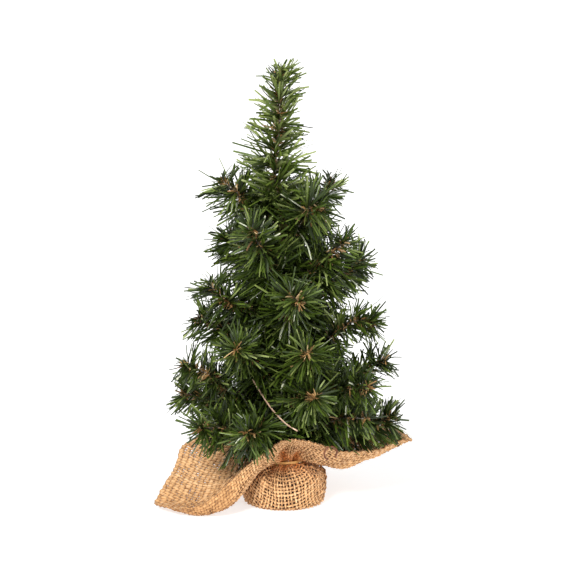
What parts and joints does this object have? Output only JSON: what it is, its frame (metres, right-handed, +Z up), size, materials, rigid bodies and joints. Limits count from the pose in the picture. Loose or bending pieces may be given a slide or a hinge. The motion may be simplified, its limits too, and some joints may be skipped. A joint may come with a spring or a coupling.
{
  "type": "artificial tabletop tree",
  "caption": "Small artificial pine of bendable wired needle branches on a wire trunk, standing in a weighted pot bundled in gathered burlap.",
  "frame": {"origin": "centre of the bundled pot's underside, on the table", "axes": "+Z up along the trunk, front of the tree towards -Y, the drooping cloth corner towards -X"},
  "size_m": [0.1747, 0.139, 0.3],
  "materials": {
    "needles": "cut PVC film needles twisted in wire, mostly air",
    "tape": "brown floral tape",
    "steel": "dull drawn wire",
    "burlap": "open plain-weave jute",
    "pot": "dark moulded",
    "cement": "cast, rough",
    "rubber": "natural rubber",
    "copper": "bare thin wire",
    "dark_wire": "lacquered wire"
  },
  "bodies": {
    "base": {"burlap_wrap": "burlap", "base_pot": "pot", "cement_fill": "cement", "rubber_band": "rubber", "trunk_wire": "steel", "trunk_wrap": "tape", "binding_wire": "copper", "wire_loop": "dark_wire"},
    "branch_01": {"branch_01": "needles"},
    "branch_02": {"branch_02": "needles"},
    "branch_03": {"branch_03": "needles"},
    "branch_04": {"branch_04": "needles"},
    "branch_05": {"branch_05": "needles"},
    "branch_06": {"branch_06": "needles"},
    "branch_07": {"branch_07": "needles"},
    "branch_08": {"branch_08": "needles"},
    "branch_09": {"branch_09": "needles"},
    "branch_10": {"branch_10": "needles"},
    "branch_11": {"branch_11": "needles"},
    "branch_12": {"branch_12": "needles"},
    "branch_13": {"branch_13": "needles"},
    "branch_14": {"branch_14": "needles"},
    "branch_15": {"branch_15": "needles"},
    "branch_16": {"branch_16": "needles"},
    "branch_17": {"branch_17": "needles"},
    "branch_18": {"branch_18": "needles"},
    "branch_19": {"branch_19": "needles"},
    "branch_20": {"branch_20": "needles"},
    "branch_21": {"branch_21": "needles"},
    "branch_22": {"branch_22": "needles"},
    "branch_23": {"branch_23": "needles"},
    "branch_24": {"branch_24": "needles"},
    "branch_25": {"branch_25": "needles"},
    "branch_26": {"branch_26": "needles"},
    "branch_27": {"branch_27": "needles"},
    "branch_28": {"branch_28": "needles"},
    "branch_29": {"branch_29": "needles"},
    "branch_30": {"branch_30": "needles"},
    "branch_31": {"branch_31": "needles"},
    "branch_32": {"branch_32": "needles"},
    "leader": {"leader": "needles"}
  },
  "joints": [
    {"name": "branch_01_bend", "type": "hinge", "parent": "base", "child": "branch_01", "pos_m": [-0.0043, 0, 0.19], "axis": [0, 1, 0], "range_deg": [-20, 30]},
    {"name": "branch_02_bend", "type": "hinge", "parent": "base", "child": "branch_02", "pos_m": [0.00329, 0.00276, 0.189], "axis": [0.6428, -0.766, 0], "range_deg": [-20, 25]},
    {"name": "branch_03_bend", "type": "hinge", "parent": "base", "child": "branch_03", "pos_m": [0.00276, -0.00329, 0.182], "axis": [-0.766, -0.6428, 0], "range_deg": [-20, 25]},
    {"name": "branch_04_bend", "type": "hinge", "parent": "base", "child": "branch_04", "pos_m": [-0.00111, 0.00415, 0.186], "axis": [0.9659, 0.2588, 0], "range_deg": [-20, 25]},
    {"name": "branch_05_bend", "type": "hinge", "parent": "base", "child": "branch_05", "pos_m": [-0.00404, 0.00147, 0.16], "axis": [0.342, 0.9397, 0], "range_deg": [-20, 25]},
    {"name": "branch_06_bend", "type": "hinge", "parent": "base", "child": "branch_06", "pos_m": [-0.00215, -0.00372, 0.152], "axis": [-0.866, 0.5, 0], "range_deg": [-20, 20]},
    {"name": "branch_07_bend", "type": "hinge", "parent": "base", "child": "branch_07", "pos_m": [0.00404, -0.00147, 0.147], "axis": [-0.342, -0.9397, 0], "range_deg": [-20, 20]},
    {"name": "branch_08_bend", "type": "hinge", "parent": "base", "child": "branch_08", "pos_m": [0.00424, 0.00075, 0.137], "axis": [0.1736, -0.9848, 0], "range_deg": [-15, 10]},
    {"name": "branch_09_bend", "type": "hinge", "parent": "base", "child": "branch_09", "pos_m": [0.00111, 0.00415, 0.156], "axis": [0.9659, -0.2588, 0], "range_deg": [-20, 25]},
    {"name": "branch_10_bend", "type": "hinge", "parent": "base", "child": "branch_10", "pos_m": [-0.00253, 0.00348, 0.14], "axis": [0.809, 0.5878, 0], "range_deg": [-20, 25]},
    {"name": "branch_11_bend", "type": "hinge", "parent": "base", "child": "branch_11", "pos_m": [-0.00404, -0.00147, 0.122], "axis": [-0.342, 0.9397, 0], "range_deg": [-20, 30]},
    {"name": "branch_12_bend", "type": "hinge", "parent": "base", "child": "branch_12", "pos_m": [0.00075, -0.00424, 0.125], "axis": [-0.9848, -0.1736, 0], "range_deg": [-20, 30]},
    {"name": "branch_13_bend", "type": "hinge", "parent": "base", "child": "branch_13", "pos_m": [0.00415, -0.00111, 0.106], "axis": [-0.2588, -0.9659, 0], "range_deg": [-15, 30]},
    {"name": "branch_14_bend", "type": "hinge", "parent": "base", "child": "branch_14", "pos_m": [0.00288, 0.0032, 0.12], "axis": [0.7431, -0.6691, 0], "range_deg": [-20, 30]},
    {"name": "branch_15_bend", "type": "hinge", "parent": "base", "child": "branch_15", "pos_m": [-0.00015, 0.0043, 0.112], "axis": [0.9994, 0.0349, 0], "range_deg": [-20, 30]},
    {"name": "branch_16_bend", "type": "hinge", "parent": "base", "child": "branch_16", "pos_m": [-0.00424, 0.00075, 0.1], "axis": [0.1736, 0.9848, 0], "range_deg": [-20, 25]},
    {"name": "branch_17_bend", "type": "hinge", "parent": "base", "child": "branch_17", "pos_m": [-0.00247, -0.00352, 0.082], "axis": [-0.8192, 0.5736, 0], "range_deg": [-4, 30]},
    {"name": "branch_18_bend", "type": "hinge", "parent": "base", "child": "branch_18", "pos_m": [0.00111, -0.00415, 0.09], "axis": [-0.9659, -0.2588, 0], "range_deg": [-15, 15]},
    {"name": "branch_19_bend", "type": "hinge", "parent": "base", "child": "branch_19", "pos_m": [-0.00276, 0.00329, 0.086], "axis": [0.766, 0.6428, 0], "range_deg": [-20, 30]},
    {"name": "branch_20_bend", "type": "hinge", "parent": "base", "child": "branch_20", "pos_m": [0.00182, 0.0039, 0.08], "axis": [0.9063, -0.4226, 0], "range_deg": [-20, 25]},
    {"name": "branch_21_bend", "type": "hinge", "parent": "base", "child": "branch_21", "pos_m": [0.00352, -0.00247, 0.076], "axis": [-0.5736, -0.8192, 0], "range_deg": [-7, 30]},
    {"name": "branch_22_bend", "type": "hinge", "parent": "base", "child": "branch_22", "pos_m": [0.00428, 0.00038, 0.066], "axis": [0.0872, -0.9962, 0], "range_deg": [-20, 30]},
    {"name": "branch_23_bend", "type": "hinge", "parent": "base", "child": "branch_23", "pos_m": [-0.00424, -0.00075, 0.062], "axis": [-0.1736, 0.9848, 0], "range_deg": [-15, 20]},
    {"name": "branch_24_bend", "type": "hinge", "parent": "base", "child": "branch_24", "pos_m": [0.00161, -0.00399, 0.066], "axis": [-0.9272, -0.3746, 0], "range_deg": [-20, 15]},
    {"name": "branch_25_bend", "type": "hinge", "parent": "base", "child": "branch_25", "pos_m": [-0.00421, 0.00089, 0.053], "axis": [0.2079, 0.9781, 0], "range_deg": [-20, 7]},
    {"name": "branch_26_bend", "type": "hinge", "parent": "base", "child": "branch_26", "pos_m": [-0.00369, -0.00221, 0.05], "axis": [-0.515, 0.8572, 0], "range_deg": [-20, 20]},
    {"name": "branch_27_bend", "type": "hinge", "parent": "base", "child": "branch_27", "pos_m": [-0.00209, -0.00376, 0.047], "axis": [-0.8746, 0.4848, 0], "range_deg": [-9, 20]},
    {"name": "branch_28_bend", "type": "hinge", "parent": "base", "child": "branch_28", "pos_m": [0.00372, -0.00215, 0.046], "axis": [-0.5, -0.866, 0], "range_deg": [-10, 7]},
    {"name": "branch_29_bend", "type": "hinge", "parent": "base", "child": "branch_29", "pos_m": [0.00429, -0.00022, 0.042], "axis": [-0.0523, -0.9986, 0], "range_deg": [-7, 10]},
    {"name": "branch_30_bend", "type": "hinge", "parent": "base", "child": "branch_30", "pos_m": [-0.00075, 0.00424, 0.048], "axis": [0.9848, 0.1736, 0], "range_deg": [-7, 30]},
    {"name": "branch_31_bend", "type": "hinge", "parent": "base", "child": "branch_31", "pos_m": [0.0032, 0.00288, 0.046], "axis": [0.6691, -0.7431, 0], "range_deg": [-7, 30]},
    {"name": "branch_32_bend", "type": "hinge", "parent": "base", "child": "branch_32", "pos_m": [-0.00329, 0.00276, 0.044], "axis": [0.6428, 0.766, 0], "range_deg": [-8, 25]},
    {"name": "leader_bend", "type": "hinge", "parent": "base", "child": "leader", "pos_m": [0, 0, 0.2], "axis": [0, 1, 0], "range_deg": [-15, 12]}
  ]
}
